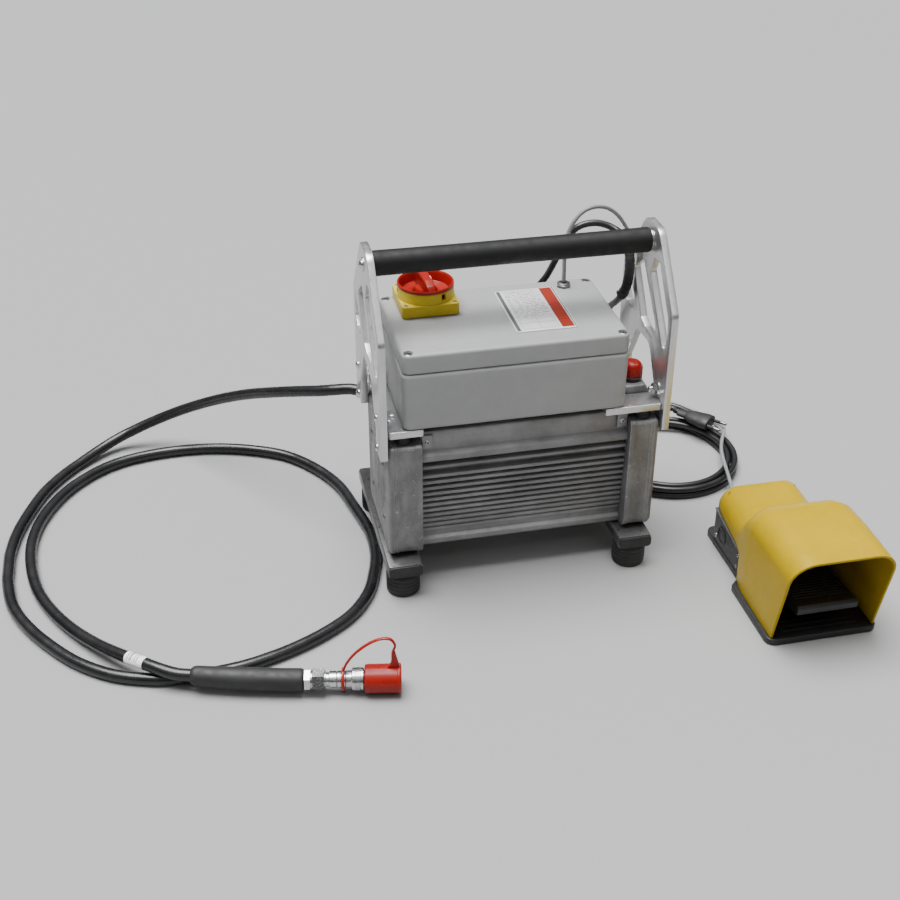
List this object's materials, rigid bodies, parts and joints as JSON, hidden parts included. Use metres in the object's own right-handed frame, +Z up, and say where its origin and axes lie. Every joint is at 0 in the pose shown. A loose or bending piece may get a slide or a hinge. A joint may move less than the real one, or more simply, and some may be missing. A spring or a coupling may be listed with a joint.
{
  "type": "hydraulic power unit",
  "caption": "Portable electric hydraulic power unit: finned motor body in a carrying frame, switch box on top, hose with quick coupler, mains lead and hooded foot switch.",
  "frame": {"origin": "middle of the footprint of the power unit and its foot switch together, on the floor", "axes": "+X along the motor body towards the foot switch, +Y from the unit's front to its rear, +Z up"},
  "size_m": [0.9454, 0.5955, 0.393],
  "materials": {
    "cast_aluminium": "as-cast, matte",
    "plate_aluminium": "milled plate with bright machined edges",
    "plated_steel": "bright plated steel",
    "grey_paint": "light grey powder coat",
    "yellow_plastic": "smooth moulded yellow",
    "red_plastic": "smooth moulded red",
    "black_plastic": "moulded black",
    "black_rubber": "soft matte black",
    "hose_rubber": "smooth black rubber",
    "grey_cable": "smooth grey sheath",
    "label_foil": "printed foil label",
    "copper_winding": "wound copper on laminated steel"
  },
  "bodies": {
    "root": {"motor_body": "cast_aluminium", "end_casting_left": "cast_aluminium", "end_casting_right": "cast_aluminium", "motor_stator": "copper_winding", "pump_block": "cast_aluminium", "base_rail_left": "plate_aluminium", "base_rail_right": "plate_aluminium", "foot_front_left": "black_rubber", "foot_front_right": "black_rubber", "foot_rear_left": "black_rubber", "foot_rear_right": "black_rubber", "bracket_left": "plate_aluminium", "bracket_right": "plate_aluminium", "handle_rod": "plated_steel", "handle_grip": "black_rubber", "support_plate_left": "plate_aluminium", "support_plate_right": "plate_aluminium", "isolator_front_left": "black_rubber", "isolator_front_right": "black_rubber", "isolator_rear_left": "black_rubber", "isolator_rear_right": "black_rubber", "enclosure_base": "grey_paint", "enclosure_lid": "grey_paint", "enclosure_gasket": "black_rubber", "lid_screw_front_left": "plated_steel", "lid_screw_front_right": "plated_steel", "lid_screw_rear_left": "plated_steel", "lid_screw_rear_right": "plated_steel", "contactor": "black_plastic", "nameplate": "label_foil", "lid_gland": "plated_steel", "mains_gland": "black_plastic", "switch_plate": "yellow_plastic", "switch_collar": "yellow_plastic", "switch_body": "black_plastic", "filler_neck": "cast_aluminium", "manifold_block": "cast_aluminium", "outlet_fitting": "plated_steel", "hose": "hose_rubber", "hose_grip_sleeve": "black_rubber", "hose_nut": "plated_steel", "coupler_body": "plated_steel", "dust_cap_tether": "red_plastic", "mains_cable": "hose_rubber", "mains_coil": "hose_rubber", "mains_plug": "black_rubber", "foot_switch_lead": "grey_cable", "pedal_base": "black_plastic", "pedal_switch_body": "black_plastic", "pedal_hood": "yellow_plastic", "pedal_pin": "plated_steel", "pedal_gland": "black_plastic"},
    "main_switch": {"switch_knob": "red_plastic", "switch_shaft": "plated_steel"},
    "filler_breather_cap": {"filler_cap": "red_plastic"},
    "rotor": {"motor_rotor": "plated_steel"},
    "coupler_sleeve": {"coupler_collar": "plated_steel"},
    "coupler_dust_cap": {"dust_cap": "red_plastic"},
    "foot_tread": {"pedal_tread": "black_plastic"}
  },
  "joints": [
    {"name": "main_switch_turn", "type": "hinge", "parent": "root", "child": "main_switch", "pos_m": [-0.185, 0.1215, 0.3294], "axis": [0, 0, 1], "range_deg": [0, 90]},
    {"name": "filler_cap_turn", "type": "hinge", "parent": "root", "child": "filler_breather_cap", "pos_m": [0.038, 0.0545, 0.23], "axis": [0, 0, 1], "range_deg": [0, 360]},
    {"name": "motor_rotor_spin", "type": "hinge", "parent": "root", "child": "rotor", "pos_m": [-0.097, 0.0795, 0.122], "axis": [1, 0, 0], "continuous": true},
    {"name": "coupler_collar_slide", "type": "slide", "parent": "root", "child": "coupler_sleeve", "axis": [-0.983, 0.1838, 0], "range_m": [0, 0.005], "stiffness_N_per_m": 400},
    {"name": "dust_cap_pull", "type": "slide", "parent": "root", "child": "coupler_dust_cap", "axis": [0.983, -0.1838, 0], "range_m": [0, 0.03]},
    {"name": "pedal_press", "type": "hinge", "parent": "root", "child": "foot_tread", "pos_m": [0.1945, -0.0745, 0.027], "axis": [1, 0, 0], "range_deg": [0, 12], "stiffness_Nm_per_rad": 3, "springref_deg": -3.44}
  ]
}
